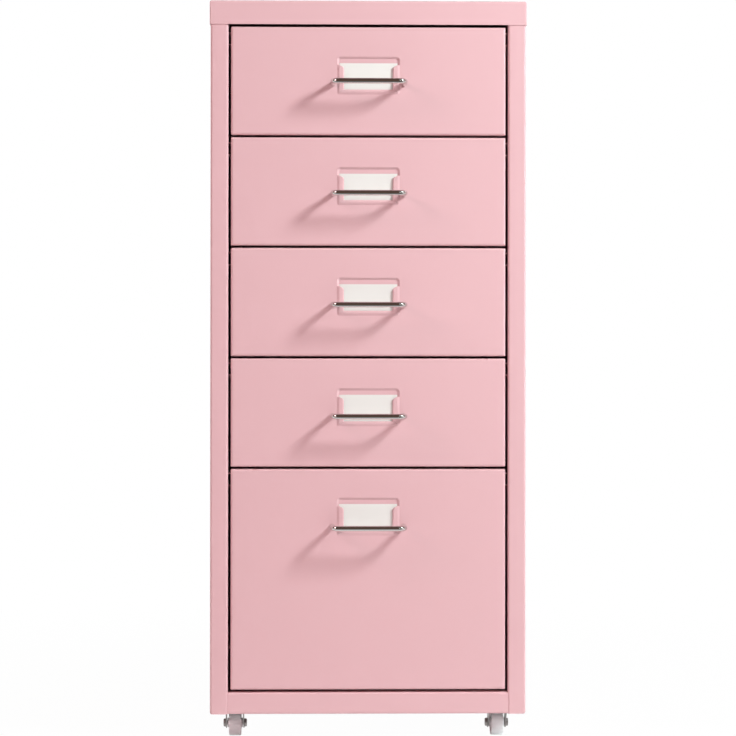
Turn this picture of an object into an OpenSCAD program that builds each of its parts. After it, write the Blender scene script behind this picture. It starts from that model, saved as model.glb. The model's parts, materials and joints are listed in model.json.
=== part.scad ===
// Small steel drawer cabinet on casters, with four shallow drawers over one deep one.
// Millimetres. The origin is on the floor, under the middle of the cabinet's bounding box.
// +Z is up, the drawers open towards -Y, and +X is to the right as seen from the front.

/* [Body] */
// Width across the two side panels
body_w = 291; // [250:1:360]
// Depth from the front plane to the rear face
body_d = 410; // [380:1:480]
// Thickness of the body's sheet steel
body_sheet = 0.7; // [0.5:0.1:1]
// Height of the top panel's folded skirt
top_skirt_h = 22; // [16:0.1:40]
// Height of the base panel's folded sides and front apron
apron_h = 20.3; // [14:0.1:40]
// Width of each front post
post_w = 16.5; // [14:0.5:26]
// Depth of the fold behind each front post
post_lip_d = 10; // [6:0.5:14]
// Width of the rear and top flanges of each side panel
flange_w = 14; // [12:0.5:22]
// Depth of the fold along the apron's top edge
apron_hem_d = 8; // [4:0.5:14]

/* [Drawers] */
// Height of each shallow drawer's front
shallow_front_h = 99.7; // [90:0.1:140]
// Height of the deep drawer's front
deep_front_h = 203; // [150:0.1:300]
// Gap above and below each drawer's front
front_gap = 2.2; // [1.4:0.1:4]
// Gap between a drawer's front and each post
side_gap = 2.4; // [1.2:0.1:4]
// Depth of the folds around each drawer's front
front_fold_d = 10; // [6:0.5:14]
// Thickness of the drawers' sheet steel
drawer_sheet = 0.6; // [0.5:0.1:0.9]
// Travel of each drawer from shut to its stop
drawer_travel = 300; // [200:1:340]
// Drop from a front's top edge to its tray's rim
rim_drop = 14; // [11:0.5:24]
// Space behind a shut tray
tray_rear_gap = 12; // [8:0.5:24]
// Width of the tray's rim flange, which slides in the runner
rim_flange_w = 7; // [5:0.5:10]

/* [Runners] */
// Height of the runner channel
runner_h = 12; // [11:0.5:16]
// Thickness of the runner's sheet steel
runner_sheet = 1; // [0.8:0.1:1.4]
// Drop of the stop at the runner's front end
runner_stop_h = 4; // [3:0.5:5]

/* [Handles] */
// Drop from the middle of a shallow front to the handle's axis
handle_drop = 2.7; // [0:0.1:10]
// Spacing of a handle's two screws
handle_pitch = 65.5; // [65:0.5:128]
// Diameter of the handle's rod
handle_rod_d = 5; // [4.6:0.1:5.6]
// Distance from a drawer's front to the rod's outer side
handle_reach = 27; // [22:0.5:40]
// Radius of the rod's bends, at its centreline
handle_bend_r = 6; // [4:0.5:10]
// Diameter of the handle's screws
handle_screw_d = 3; // [2.5:0.1:3.2]

/* [Label holders] */
// Width of the pressed pocket
pocket_w = 57.8; // [44:0.2:58]
// Height of the pressed pocket
pocket_h = 33.8; // [28:0.2:36]
// Height of the pocket's top edge above the handle's axis
pocket_rise = 24; // [18:0.1:26]
// How much higher the pocket is pressed in the deep drawer's front
deep_pocket_lift = 1.2; // [0:0.1:4]
// Depth of the pocket behind the front's face
pocket_d = 1.4; // [0.8:0.1:1.6]
// How far the holder's frame stands proud of the face
frame_raise = 0.9; // [0.6:0.1:1.2]
// Width of the frame's two upright strips
frame_side_w = 6.4; // [4.4:0.1:9]
// Height of the frame's bottom strip
frame_bottom_h = 4.5; // [3:0.1:8]
// Height of the open pocket above the frame
frame_open_h = 6.6; // [5:0.1:10]
// Radius of the frame's inner top corners
frame_corner_r = 3.4; // [2:0.1:4.2]
// Space beside the paper label card, on each side
card_side_gap = 2.1; // [0.6:0.1:4]
// Drop from the pocket's top edge to the card's
card_drop = 4.8; // [2:0.1:9]
// Thickness of the paper label card
card_t = 0.4; // [0.2:0.1:0.6]

/* [Casters] */
// Height from the floor to the base panel
caster_h = 32; // [32:0.5:48]
// Diameter of the wheel
wheel_d = 24; // [20:0.5:26]
// Width of the wheel's tread
wheel_w = 11.5; // [8:0.1:12]
// Distance the wheel trails behind the swivel
caster_trail = 12; // [9:0.5:14]
// Distance from the swivel to the body's front or rear face
caster_inset_y = 57; // [30:1:90]
// Distance from the swivel to the body's side
caster_inset_x = 21; // [20.5:0.5:60]
// Side length of the square mounting plate
caster_plate_w = 38; // [36:0.5:40]
// Spacing of the plate's four screws
caster_screw_pitch = 28; // [27:0.5:30]

/* [Hidden] */
$fn = 64;

drawer_count = 5;
DRAWERS = [1:drawer_count];
CASTERS = ["front_left", "front_right", "rear_left", "rear_right"];

// Clearances
seat_gap = 0.3;         // between a moving piece and the face it runs or stops against
skirt_fit = 0.05;       // between the top panel's skirt and the body
seam_gap = 0.4;         // between two panels that meet at a visible seam
pin_gap = 0.05;         // around a pin or a thread, on the radius
screw_gap = 0.1;        // around a screw in a plain hole, on the radius
rim_gap = 0.2;          // between the drawer's rim and the inside of its front's folds
ledge_gap = 1;          // between the tray's wall and the runner's ledges
weld_gap = 0.05;        // between two sheets of one welded piece

// Body screws: self-tapping, with pan heads
body_screw_d = 4;
body_screw_head_d = 7.2;
body_screw_head_h = 1.8;
body_screw_len = 4.5;
back_screw_rows = 3;
base_screw_x = 60;

// Caster parts
plate_t = 1.6;
race_h = 2;
race_d = 20;
race_bore_d = 10;
fork_sheet = 1.4;
fork_leg_t = 1.2;
fork_eye_r = 6;
fork_front = 9;
fork_back = 10;
hub_gap = 0.3;
hub_proud = 1.5;       // how far the hub stands out past the tread, on each side
hub_d = 9;
rim_t = 2.6;
web_w = 6;
tread_edge = 0.8;
axle_d = 4;
axle_head_d = 8;
axle_head_h = 2.4;
kingpin_d = 5;
kingpin_head_d = 9;
kingpin_head_h = 1.2;
kingpin_top_h = 0.8;
caster_screw_head_d = 7;
caster_screw_head_h = 2.2;
caster_screw_reach = 3.5; // above the base panel's floor

// Handle parts
handle_screw_head_d = 5.2;
handle_screw_head_h = 1.9;
handle_screw_depth = 7.5; // into the rod
tapped_depth = 8.5;
rod_r = handle_rod_d / 2;
rod_y = handle_reach - rod_r; // from the front's face to the grip's axis

// Heights
body_h = top_skirt_h + (drawer_count + 1) * front_gap + (drawer_count - 1) * shallow_front_h
       + deep_front_h + apron_h;
body_bottom = caster_h;
body_top = body_bottom + body_h;
panel_top = body_top - body_sheet; // underside of the top panel's plate
function front_h(i) = i < drawer_count ? shallow_front_h : deep_front_h;
function front_top(i) = body_top - top_skirt_h - front_gap - (i - 1) * (shallow_front_h + front_gap);
function front_bottom(i) = front_top(i) - front_h(i);
function handle_z(i) = front_top(i) - shallow_front_h / 2 - handle_drop;
function pocket_top(i) = handle_z(i) + pocket_rise + (i < drawer_count ? 0 : deep_pocket_lift);
function rim_z(i) = front_top(i) - rim_drop; // top face of the tray's rim
function runner_z(i) = rim_z(i) - drawer_sheet - seat_gap - runner_sheet; // underside of the runner
top_screw_z = body_top - top_skirt_h / 2;
base_screw_z = body_bottom + apron_h / 2;
function back_screw_z(n) = body_bottom + apron_h
    + (n + 0.5) * (body_h - apron_h - top_skirt_h) / back_screw_rows;

// Depths: the bounding box runs from the handles to the top panel's rear screw heads
rear_out = skirt_fit + body_sheet + body_screw_head_h;
front_y = handle_reach - (handle_reach + body_d + rear_out) / 2;
rear_y = front_y + body_d;
back_panel_y = rear_y - 2 * body_sheet; // front face of the back panel
runner_front_y = front_y + max(post_lip_d, front_fold_d) + seat_gap;
runner_rear_y = back_panel_y - body_sheet - 4;
tray_front_y = front_y + drawer_sheet;
tray_rear_y = rear_y - tray_rear_gap;
stop_y = runner_front_y + runner_sheet; // rear face of the runner's stop
tab_y = stop_y + seat_gap + drawer_travel; // front face of the tray's stop tab, with the drawer shut

// Half widths
skin_x = body_w / 2 - body_sheet; // inner face of a side panel
opening_x = body_w / 2 - post_w;
front_x = opening_x - side_gap;
rim_x = front_x - drawer_sheet - rim_gap;
tray_x = rim_x - rim_flange_w; // outer face of a tray's wall
ledge_x = tray_x + ledge_gap;
flange_x = body_w / 2 - flange_w / 2; // middle of the rear flanges, where the screws go

// Caster places and heights
caster_x = body_w / 2 - caster_inset_x;
plate_bottom = caster_h - plate_t;
crown_top = plate_bottom - race_h;
crown_bottom = crown_top - fork_sheet;
axle_z = wheel_d / 2;
hub_x = wheel_w / 2 + hub_proud;
leg_in = hub_x + hub_gap;
leg_out = leg_in + fork_leg_t;
function caster_pos(k) = [k % 2 == 0 ? -caster_x : caster_x,
                          k < 2 ? front_y + caster_inset_y : rear_y - caster_inset_y];

PAINT = [0.925, 0.745, 0.765];
CHROME = [0.80, 0.80, 0.82];
ZINC = [0.66, 0.67, 0.69];
PAPER = [0.95, 0.95, 0.93];
NYLON = [0.87, 0.86, 0.84];

// A box from its lowest corner to its highest
module block(low, high) {
    translate(low) cube(high - low);
}

// A cylinder along Y, from y0 to y1
module rod_y_axis(r, y0, y1) {
    translate([0, y0, 0]) rotate([-90, 0, 0]) cylinder(r = r, h = y1 - y0);
}

// Both sides of the cabinet: the child is drawn for +X and mirrored to -X
module both_sides() {
    children();
    mirror([1, 0, 0]) children();
}

// ---------- Body ----------

// Folded cap: a plate with a skirt on all four sides, outside the side panels
module top_panel() {
    out_x = body_w / 2 + skirt_fit + body_sheet;
    in_x = body_w / 2 + skirt_fit;
    skirt_bottom = body_top - top_skirt_h;
    color(PAINT) difference() {
        block([-out_x, front_y - skirt_fit - body_sheet, skirt_bottom],
              [out_x, rear_y + skirt_fit + body_sheet, body_top]);
        block([-in_x, front_y - skirt_fit, skirt_bottom - 1], [in_x, rear_y + skirt_fit, panel_top]);
        both_sides() translate([flange_x, 0, top_screw_z])
            rod_y_axis(body_screw_d / 2 + screw_gap, rear_y - 1, rear_y + body_sheet + 2);
    }
}

// Skin with a front post, a fold behind the post, and flanges at the rear and the top
module side_panel() {
    post_in = opening_x;
    flange_in = body_w / 2 - flange_w;
    color(PAINT) difference() {
        union() {
            block([skin_x, front_y, body_bottom], [body_w / 2, rear_y, panel_top]);
            block([post_in, front_y, body_bottom], [body_w / 2, front_y + body_sheet, panel_top]);
            block([post_in, front_y, body_bottom + body_sheet + seat_gap],
                  [post_in + body_sheet, front_y + post_lip_d, panel_top]);
            block([flange_in, rear_y - body_sheet, body_bottom], [body_w / 2, rear_y, panel_top]);
            block([flange_in, front_y, panel_top - body_sheet], [body_w / 2, rear_y, panel_top]);
        }
        for (n = [0:back_screw_rows - 1]) translate([flange_x, 0, back_screw_z(n)])
            rod_y_axis(body_screw_d / 2 + screw_gap, rear_y - 2, rear_y + 1);
        translate([flange_x, 0, top_screw_z])
            rod_y_axis(body_screw_d / 2 + screw_gap, rear_y - 2, rear_y + 1);
    }
}

// Flat sheet inside the side panels' rear flanges
module back_panel() {
    half = skin_x - seat_gap;
    color(PAINT) difference() {
        block([-half, back_panel_y, body_bottom + seat_gap],
              [half, back_panel_y + body_sheet, panel_top - body_sheet - seat_gap]);
        both_sides() {
            for (n = [0:back_screw_rows - 1]) translate([flange_x, 0, back_screw_z(n)])
                rod_y_axis(body_screw_d / 2 + pin_gap, back_panel_y - 1, rear_y);
            translate([flange_x, 0, top_screw_z])
                rod_y_axis(body_screw_d / 2 + pin_gap, back_panel_y - 1, rear_y);
            translate([base_screw_x, 0, base_screw_z])
                rod_y_axis(body_screw_d / 2 + screw_gap, back_panel_y - 1, rear_y);
        }
    }
}

// Tray with its sides turned up: a front apron between the posts, two side flanges and a rear one
module base_panel() {
    z0 = body_bottom;
    z1 = body_bottom + apron_h;
    apron_x = opening_x - seam_gap;
    corner_y = front_y + body_sheet + seat_gap;
    color(PAINT) difference() {
        union() {
            block([-apron_x, front_y, z0], [apron_x, back_panel_y, z0 + body_sheet]);
            block([-skin_x, corner_y, z0], [skin_x, back_panel_y, z0 + body_sheet]);
            block([-apron_x, front_y, z0], [apron_x, front_y + body_sheet, z1]);
            block([-apron_x, front_y, z1 - body_sheet], [apron_x, front_y + apron_hem_d, z1]);
            block([-skin_x, back_panel_y - body_sheet, z0], [skin_x, back_panel_y, z1]);
            both_sides() block([skin_x - body_sheet, corner_y, z0], [skin_x, back_panel_y, z1]);
        }
        for (k = [0:3]) at_caster(k) caster_screw_places()
            translate([0, 0, z0 - 1]) cylinder(r = body_screw_d / 2 + pin_gap, h = body_sheet + 2);
        both_sides() translate([base_screw_x, 0, base_screw_z])
            rod_y_axis(body_screw_d / 2 + pin_gap, back_panel_y - body_sheet - 1, rear_y);
    }
}

// One self-tapping screw along -Y, with its head's underside at y
module body_screw(y) {
    rod_y_axis(body_screw_d / 2, y - body_screw_len, y + body_screw_head_h / 2);
    rod_y_axis(body_screw_head_d / 2, y, y + body_screw_head_h);
}

// Screws that hold the back panel, the base's rear flange and the top panel
module panel_screws() {
    color(ZINC) both_sides() {
        for (n = [0:back_screw_rows - 1]) translate([flange_x, 0, back_screw_z(n)]) body_screw(rear_y);
        translate([flange_x, 0, top_screw_z]) body_screw(rear_y + skirt_fit + body_sheet);
        translate([base_screw_x, 0, base_screw_z]) body_screw(rear_y - body_sheet);
    }
}

// ---------- Runners ----------

// Channel open towards the drawer, with a stop welded under its upper ledge at the front end
module runner(i) {
    z0 = runner_z(i);
    z1 = z0 + runner_h;
    stop_top = z1 - runner_sheet - weld_gap;
    color(PAINT) {
        union() {
            block([ledge_x, runner_front_y, z0], [skin_x, runner_rear_y, z0 + runner_sheet]);
            block([ledge_x, runner_front_y, z1 - runner_sheet], [skin_x, runner_rear_y, z1]);
            block([skin_x - runner_sheet, runner_front_y, z0], [skin_x, runner_rear_y, z1]);
        }
        block([ledge_x, runner_front_y, stop_top - runner_stop_h], [rim_x + 1, stop_y, stop_top]);
    }
}

// ---------- Drawers ----------

// Upright strip of the label holder's frame, with its inner top corner rounded
module frame_strip(h) {
    r = frame_corner_r;
    square([frame_side_w, h - r]);
    square([frame_side_w - r, h]);
    translate([frame_side_w - r, h - r]) circle(r);
}

// Pressed label holder: the pocket's floor and walls, and the raised frame that keeps the card in
module label_holder(i) {
    t = drawer_sheet;
    top = pocket_top(i);
    bottom = top - pocket_h;
    half = pocket_w / 2;
    floor_y = front_y + pocket_d;
    face_y = front_y - frame_raise;
    frame_h = pocket_h - frame_open_h;
    difference() {
        block([-half - t, front_y, bottom - t], [half + t, floor_y + t, top + t]);
        block([-half, front_y - 1, bottom], [half, floor_y, top]);
    }
    // the frame's outer walls, from its face back to the front's sheet
    difference() {
        block([-half - t, face_y, bottom - t], [half + t, front_y + t, bottom + frame_h]);
        block([-half, face_y - 1, bottom], [half, front_y + t + 1, bottom + frame_h + 1]);
    }
    // the frame's face
    translate([0, face_y + t, bottom]) rotate([90, 0, 0]) linear_extrude(t) {
        translate([-half - t / 2, -t / 2]) square([pocket_w + t, frame_bottom_h + t / 2]);
        translate([-half, 0]) frame_strip(frame_h);
        mirror([1, 0]) translate([-half, 0]) frame_strip(frame_h);
    }
}

// Pan with folded edges, the pressed label holder and two holes for the handle's screws
module drawer_front(i) {
    t = drawer_sheet;
    low = front_bottom(i);
    high = front_top(i);
    top = pocket_top(i);
    color(PAINT) difference() {
        union() {
            difference() {
                block([-front_x, front_y, low], [front_x, front_y + front_fold_d, high]);
                block([t - front_x, front_y + t, low + t],
                      [front_x - t, front_y + front_fold_d + 1, high - t]);
                block([-pocket_w / 2, front_y - 1, top - pocket_h], [pocket_w / 2, front_y + t + 1, top]);
            }
            label_holder(i);
        }
        both_sides() translate([handle_pitch / 2, 0, handle_z(i)])
            rod_y_axis(handle_screw_d / 2 + screw_gap, front_y - 1, front_y + t + 1);
    }
}

// Tray of four welded sheets: bottom, rear, and two sides that fold outwards into a rim that runs on
// the ledge, a flange that is welded to the front, and a tab that meets the runner's stop
module drawer_tray(i) {
    t = drawer_sheet;
    z0 = front_bottom(i) + t + 1.4;
    wall_z = z0 + t + weld_gap;
    rim = rim_z(i);
    tab_top = runner_z(i) + runner_h - runner_sheet - weld_gap - 1.5;
    rear_x = tray_x - t - weld_gap;
    color(PAINT) {
        block([-tray_x, tray_front_y, z0], [tray_x, tray_rear_y, z0 + t]);
        block([-rear_x, tray_rear_y - t, wall_z], [rear_x, tray_rear_y, rim]);
        both_sides() union() {
            block([tray_x - t, tray_front_y, wall_z], [tray_x, tray_rear_y, rim]);
            block([tray_x - t, tray_front_y, rim - t], [rim_x, tray_rear_y, rim]);
            block([tray_x - t, tray_front_y, wall_z], [rim_x, tray_front_y + t, rim]);
            block([tray_x + ledge_gap, tab_y, rim - t], [rim_x, tab_y + t, tab_top]);
        }
    }
}

// Bent rod: two arms and a grip, drilled and tapped at both ends
module handle(i) {
    arm_y = front_y - (rod_y - handle_bend_r);
    color(CHROME) translate([0, 0, handle_z(i)]) difference() {
        union() {
            both_sides() {
                translate([handle_pitch / 2, 0, 0]) rod_y_axis(rod_r, arm_y, front_y);
                translate([handle_pitch / 2 - handle_bend_r, arm_y, 0]) rotate([0, 0, -90])
                    rotate_extrude(angle = 90) translate([handle_bend_r, 0]) circle(rod_r);
            }
            translate([handle_bend_r - handle_pitch / 2, front_y - rod_y, 0]) rotate([0, 90, 0])
                cylinder(r = rod_r, h = handle_pitch - 2 * handle_bend_r);
        }
        both_sides() translate([handle_pitch / 2, 0, 0])
            rod_y_axis(handle_screw_d / 2 + pin_gap, front_y - tapped_depth, front_y + 1);
    }
}

// Two machine screws from inside the drawer, through the front and into the rod's ends
module handle_screws(i) {
    back_y = front_y + drawer_sheet;
    color(ZINC) both_sides() translate([handle_pitch / 2, 0, handle_z(i)]) {
        rod_y_axis(handle_screw_d / 2, front_y - handle_screw_depth, back_y + handle_screw_head_h / 2);
        rod_y_axis(handle_screw_head_d / 2, back_y, back_y + handle_screw_head_h);
    }
}

// Paper card that stands on the pocket's bottom edge, against its floor
module label_card(i) {
    top = pocket_top(i);
    half = pocket_w / 2 - card_side_gap;
    floor_y = front_y + pocket_d;
    color(PAPER) block([-half, floor_y - card_t, top - pocket_h], [half, floor_y, top - card_drop]);
}

// ---------- Casters ----------

// Moves its child to caster k's swivel axis
module at_caster(k) {
    translate([caster_pos(k)[0], caster_pos(k)[1], 0]) children();
}

module caster_screw_places() {
    for (x = [-1, 1], y = [-1, 1])
        translate([x * caster_screw_pitch / 2, y * caster_screw_pitch / 2, 0]) children();
}

// Square plate with four screw holes, and a counterbored hole for the kingpin
module caster_plate(k) {
    half = caster_plate_w / 2;
    corner_r = 4;
    color(ZINC) at_caster(k) difference() {
        union() {
            block([-half, corner_r - half, plate_bottom], [half, half - corner_r, caster_h]);
            block([corner_r - half, -half, plate_bottom], [half - corner_r, half, caster_h]);
            for (x = [-1, 1], y = [-1, 1])
                translate([x * (half - corner_r), y * (half - corner_r), plate_bottom])
                    cylinder(r = corner_r, h = plate_t);
        }
        caster_screw_places() translate([0, 0, plate_bottom - 1])
            cylinder(r = body_screw_d / 2 + screw_gap, h = plate_t + 2);
        translate([0, 0, plate_bottom - 1]) cylinder(d = kingpin_d + 2 * pin_gap, h = plate_t + 2);
        translate([0, 0, caster_h - kingpin_top_h])
            cylinder(d = kingpin_head_d + 2 * pin_gap, h = kingpin_top_h + 1);
    }
}

// Point where the line from p touches the circle at c with radius r, on the side given by +1 or -1
function touch(p, c, r, side) =
    let (d = c - p, l = norm(d), a = atan2(d[1], d[0]) + side * asin(r / l))
    p + sqrt(l * l - r * r) * [cos(a), sin(a)];

// Side view of a fork leg: from the crown down and back to a round eye at the axle
module fork_leg_outline() {
    eye = [caster_trail, axle_z];
    front = [-fork_front, crown_bottom];
    back = [fork_back, crown_bottom];
    polygon([[-fork_front, crown_top], [fork_back, crown_top], back,
             touch(back, eye, fork_eye_r, 1), eye, touch(front, eye, fork_eye_r, -1), front]);
    translate(eye) circle(fork_eye_r);
}

// Pressed fork: a crown under the race, and two legs with eyes for the axle
module caster_fork(k) {
    color(ZINC) at_caster(k) difference() {
        union() {
            block([-leg_out, -fork_front, crown_bottom], [leg_out, fork_back, crown_top]);
            for (x = [-leg_out, leg_in]) translate([x, 0, 0])
                rotate([90, 0, 90]) linear_extrude(fork_leg_t) fork_leg_outline();
        }
        translate([0, 0, crown_bottom - 1]) cylinder(d = kingpin_d + 4 * pin_gap, h = fork_sheet + 2);
        translate([-leg_out - 1, caster_trail, axle_z]) rotate([0, 90, 0])
            cylinder(d = axle_d + 2 * pin_gap, h = 2 * leg_out + 2);
    }
}

// Riveted axle with a head at each end
module caster_axle(k) {
    color(ZINC) at_caster(k) translate([0, caster_trail, axle_z]) rotate([0, 90, 0]) {
        translate([0, 0, -leg_out - axle_head_h / 2]) cylinder(d = axle_d, h = 2 * leg_out + axle_head_h);
        translate([0, 0, leg_out]) cylinder(d = axle_head_d, h = axle_head_h);
        translate([0, 0, -leg_out - axle_head_h]) cylinder(d = axle_head_d, h = axle_head_h);
    }
}

// Half of the wheel's section: hub, thin web and rim, with the tread's edges broken
module wheel_section() {
    bore_r = axle_d / 2 + pin_gap;
    tread_r = wheel_d / 2;
    half = wheel_w / 2;
    translate([bore_r, -hub_x]) square([hub_d / 2 - bore_r, 2 * hub_x]);
    translate([bore_r, -web_w / 2]) square([tread_r - rim_t / 2 - bore_r, web_w]);
    polygon([[tread_r - rim_t, -half], [tread_r - tread_edge, -half],
             [tread_r, tread_edge - half], [tread_r, half - tread_edge],
             [tread_r - tread_edge, half], [tread_r - rim_t, half]]);
}

// Moulded wheel that turns on the axle
module caster_wheel(k) {
    color(NYLON) at_caster(k) translate([0, caster_trail, axle_z])
        rotate([0, 90, 0]) rotate_extrude() wheel_section();
}

// Rivets that hold the forks to their plates: a flush head above, a domed one below
module caster_kingpins() {
    low = crown_bottom - seat_gap - kingpin_head_h;
    color(ZINC) for (k = [0:3]) at_caster(k) {
        translate([0, 0, low]) cylinder(d = kingpin_head_d, h = kingpin_head_h);
        translate([0, 0, low + kingpin_head_h / 2])
            cylinder(d = kingpin_d, h = caster_h - low - kingpin_head_h / 2);
        translate([0, 0, caster_h - kingpin_top_h]) cylinder(d = kingpin_head_d, h = kingpin_top_h);
    }
}

// Ball races under the plates, which the forks turn against
module caster_races() {
    color(ZINC) for (k = [0:3]) at_caster(k) translate([0, 0, crown_top + seat_gap]) difference() {
        cylinder(d = race_d, h = race_h - seat_gap);
        translate([0, 0, -1]) cylinder(d = race_bore_d, h = race_h + 2);
    }
}

// Four screws a plate, from below into the base panel
module caster_screws() {
    low = plate_bottom - caster_screw_head_h;
    color(ZINC) for (k = [0:3]) at_caster(k) caster_screw_places() {
        translate([0, 0, low]) cylinder(d = caster_screw_head_d, h = caster_screw_head_h);
        translate([0, 0, low + caster_screw_head_h / 2]) cylinder(d = body_screw_d,
            h = body_bottom + body_sheet + caster_screw_reach - low - caster_screw_head_h / 2);
    }
}

top_panel();
mirror([1, 0, 0]) side_panel();  // left_side_panel
side_panel();  // right_side_panel
back_panel();
base_panel();
panel_screws();
for (i = DRAWERS) {
    mirror([1, 0, 0]) runner(i);
    runner(i);
    drawer_front(i);
    drawer_tray(i);
    handle(i);
    handle_screws(i);
    label_card(i);
}
for (k = [0:3]) {
    caster_plate(k);
    caster_fork(k);
    caster_axle(k);
    caster_wheel(k);
}
caster_kingpins();
caster_races();
caster_screws();
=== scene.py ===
"""Small steel drawer cabinet: its folded sheets, drawers, rod pulls, label holders and casters."""
import json
import math

import bmesh
import bpy
import numpy as np
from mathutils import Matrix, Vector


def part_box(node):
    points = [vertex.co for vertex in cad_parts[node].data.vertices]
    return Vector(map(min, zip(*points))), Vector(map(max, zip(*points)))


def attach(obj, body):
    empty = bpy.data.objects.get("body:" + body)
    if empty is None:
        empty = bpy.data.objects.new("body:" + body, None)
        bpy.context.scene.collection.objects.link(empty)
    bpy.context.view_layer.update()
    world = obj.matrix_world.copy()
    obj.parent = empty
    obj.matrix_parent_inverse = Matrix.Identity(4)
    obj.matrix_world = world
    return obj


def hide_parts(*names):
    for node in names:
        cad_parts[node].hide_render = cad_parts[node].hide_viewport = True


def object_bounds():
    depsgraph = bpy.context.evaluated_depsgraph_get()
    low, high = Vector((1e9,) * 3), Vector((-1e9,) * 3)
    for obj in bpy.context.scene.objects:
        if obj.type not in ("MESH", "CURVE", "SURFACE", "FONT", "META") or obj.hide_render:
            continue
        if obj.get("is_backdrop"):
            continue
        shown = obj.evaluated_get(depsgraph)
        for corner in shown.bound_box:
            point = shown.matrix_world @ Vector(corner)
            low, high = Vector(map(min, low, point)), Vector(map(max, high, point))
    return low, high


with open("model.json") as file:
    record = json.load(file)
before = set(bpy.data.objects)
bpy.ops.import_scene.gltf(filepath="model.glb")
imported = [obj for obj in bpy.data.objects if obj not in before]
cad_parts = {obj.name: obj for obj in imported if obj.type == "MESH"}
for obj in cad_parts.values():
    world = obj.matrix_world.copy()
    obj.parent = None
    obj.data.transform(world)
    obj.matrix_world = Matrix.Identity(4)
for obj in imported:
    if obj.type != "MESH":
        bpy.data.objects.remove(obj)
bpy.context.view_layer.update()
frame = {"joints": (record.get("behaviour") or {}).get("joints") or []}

MM = 0.001
SIDES = {"left": -1, "right": 1}
DRAWERS = (1, 2, 3, 4, 5)
CORNERS = ("front_left", "front_right", "rear_left", "rear_right")

# ---------- Sizes of the real thing's folds and details ----------

SHEET = 0.7 * MM            # body sheet
DRAWER_SHEET = 0.6 * MM
RUNNER_SHEET = 1.0 * MM
FOLD_R = 2.2 * MM           # outer radius of the folds in the body and the drawer fronts
RUNNER_FOLD_R = 1.8 * MM
STOP_W = 7 * MM             # the runner's stop, under its top sheet
STOP_H = 4 * MM
WELD_GAP = 0.05 * MM        # between two sheets of one welded piece
RIM_W = 7 * MM              # the tray's rim, which slides in the runner
SEAT_GAP = 0.3 * MM         # between a moving piece and what it runs or stops against
TRAY_FOLD_R = 1.2 * MM
TRAY_EDGE_R = 0.096 * MM
CAP_CORNER_R = 1.2 * MM     # upright corners of the cap, welded and ground
FRONT_CORNER_R = 1.0 * MM
LEAST_R = 0.3 * MM          # below which no corner of a pressed loop falls
EDGE_R = 0.12 * MM          # broken edge of cut sheet
PLATE_R = 0.2 * MM          # rounded edge of a small flat plate
PLATE_MOST = 0.9            # that radius never passes this share of half the plate's thickness
PLATE_CORNER = 1.5          # and a corner's radius is at least this many times it

# ---------- Limits of the meshes ----------

SAME = 1e-7                 # metres, within which two points are one
SOFT_TURN = math.radians(38)    # a surface that turns by more between two faces shows a sharp line
CUT_TURN = math.radians(50)     # only the cut edges of sheet turn by more

# ---------- Points, paths and surfaces ----------


def rounded_path(corners, radius, steps=6):
    """Straight runs joined by arcs. At each inner corner the path leaves the first run, and meets the
    second, at radius * tan(turn / 2) from the corner. The arc's points are its two end radii blended
    by sin((1 - t) turn) / sin(turn) and sin(t turn) / sin(turn), with t from 0 to 1."""
    c = np.asarray(corners, float)
    runs = np.diff(c, axis=0)
    runs /= np.linalg.norm(runs, axis=1, keepdims=True)
    into, out, at = runs[:-1], runs[1:], c[1:-1]
    turn = np.arccos(np.clip((into * out).sum(1), -1, 1))[:, None]
    r = np.broadcast_to(np.asarray(radius, float).reshape(-1, 1), turn.shape)
    inward = (out - into) / np.linalg.norm(out - into, axis=1, keepdims=True)
    middle = at + inward * r / np.cos(turn / 2)
    start = at - into * r * np.tan(turn / 2) - middle
    end = at + out * r * np.tan(turn / 2) - middle
    t = np.linspace(0, 1, steps + 1)[None, :, None]
    turn = turn[:, None]
    arcs = middle[:, None] + (np.sin((1 - t) * turn) * start[:, None]
                              + np.sin(t * turn) * end[:, None]) / np.sin(turn)
    return np.concatenate([c[:1], arcs.reshape(-1, c.shape[1]), c[-1:]])


def with_stops(path, axis, places):
    """The path with extra points on its longest run, where that run passes the given places on an axis."""
    k = int(np.argmax(np.linalg.norm(np.diff(path, axis=0), axis=1)))
    a, b = path[k], path[k + 1]
    t = np.sort((np.asarray(places) - a[axis]) / (b[axis] - a[axis]))[:, None]
    return np.concatenate([path[:k + 1], a + (b - a) * t, path[k + 1:]])


def rounded_rectangle(half_w, half_h, radius, steps=8):
    """Closed loops of 4 * (steps + 1) points: four quarter circles about the centres of the corners.
    Each size may be an array with one value a loop, and the two results have one row a loop."""
    half_w, half_h, radius = (np.atleast_1d(x)[:, None] for x in
                              np.broadcast_arrays(half_w, half_h, radius))
    quarter = np.linspace(0, math.pi / 2, steps + 1)
    angle = (quarter + np.arange(4)[:, None] * math.pi / 2).ravel()
    side = np.repeat([1, -1, -1, 1], steps + 1)
    height = np.repeat([1, 1, -1, -1], steps + 1)
    return (side * (half_w - radius) + radius * np.cos(angle),
            height * (half_h - radius) + radius * np.sin(angle))


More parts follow.
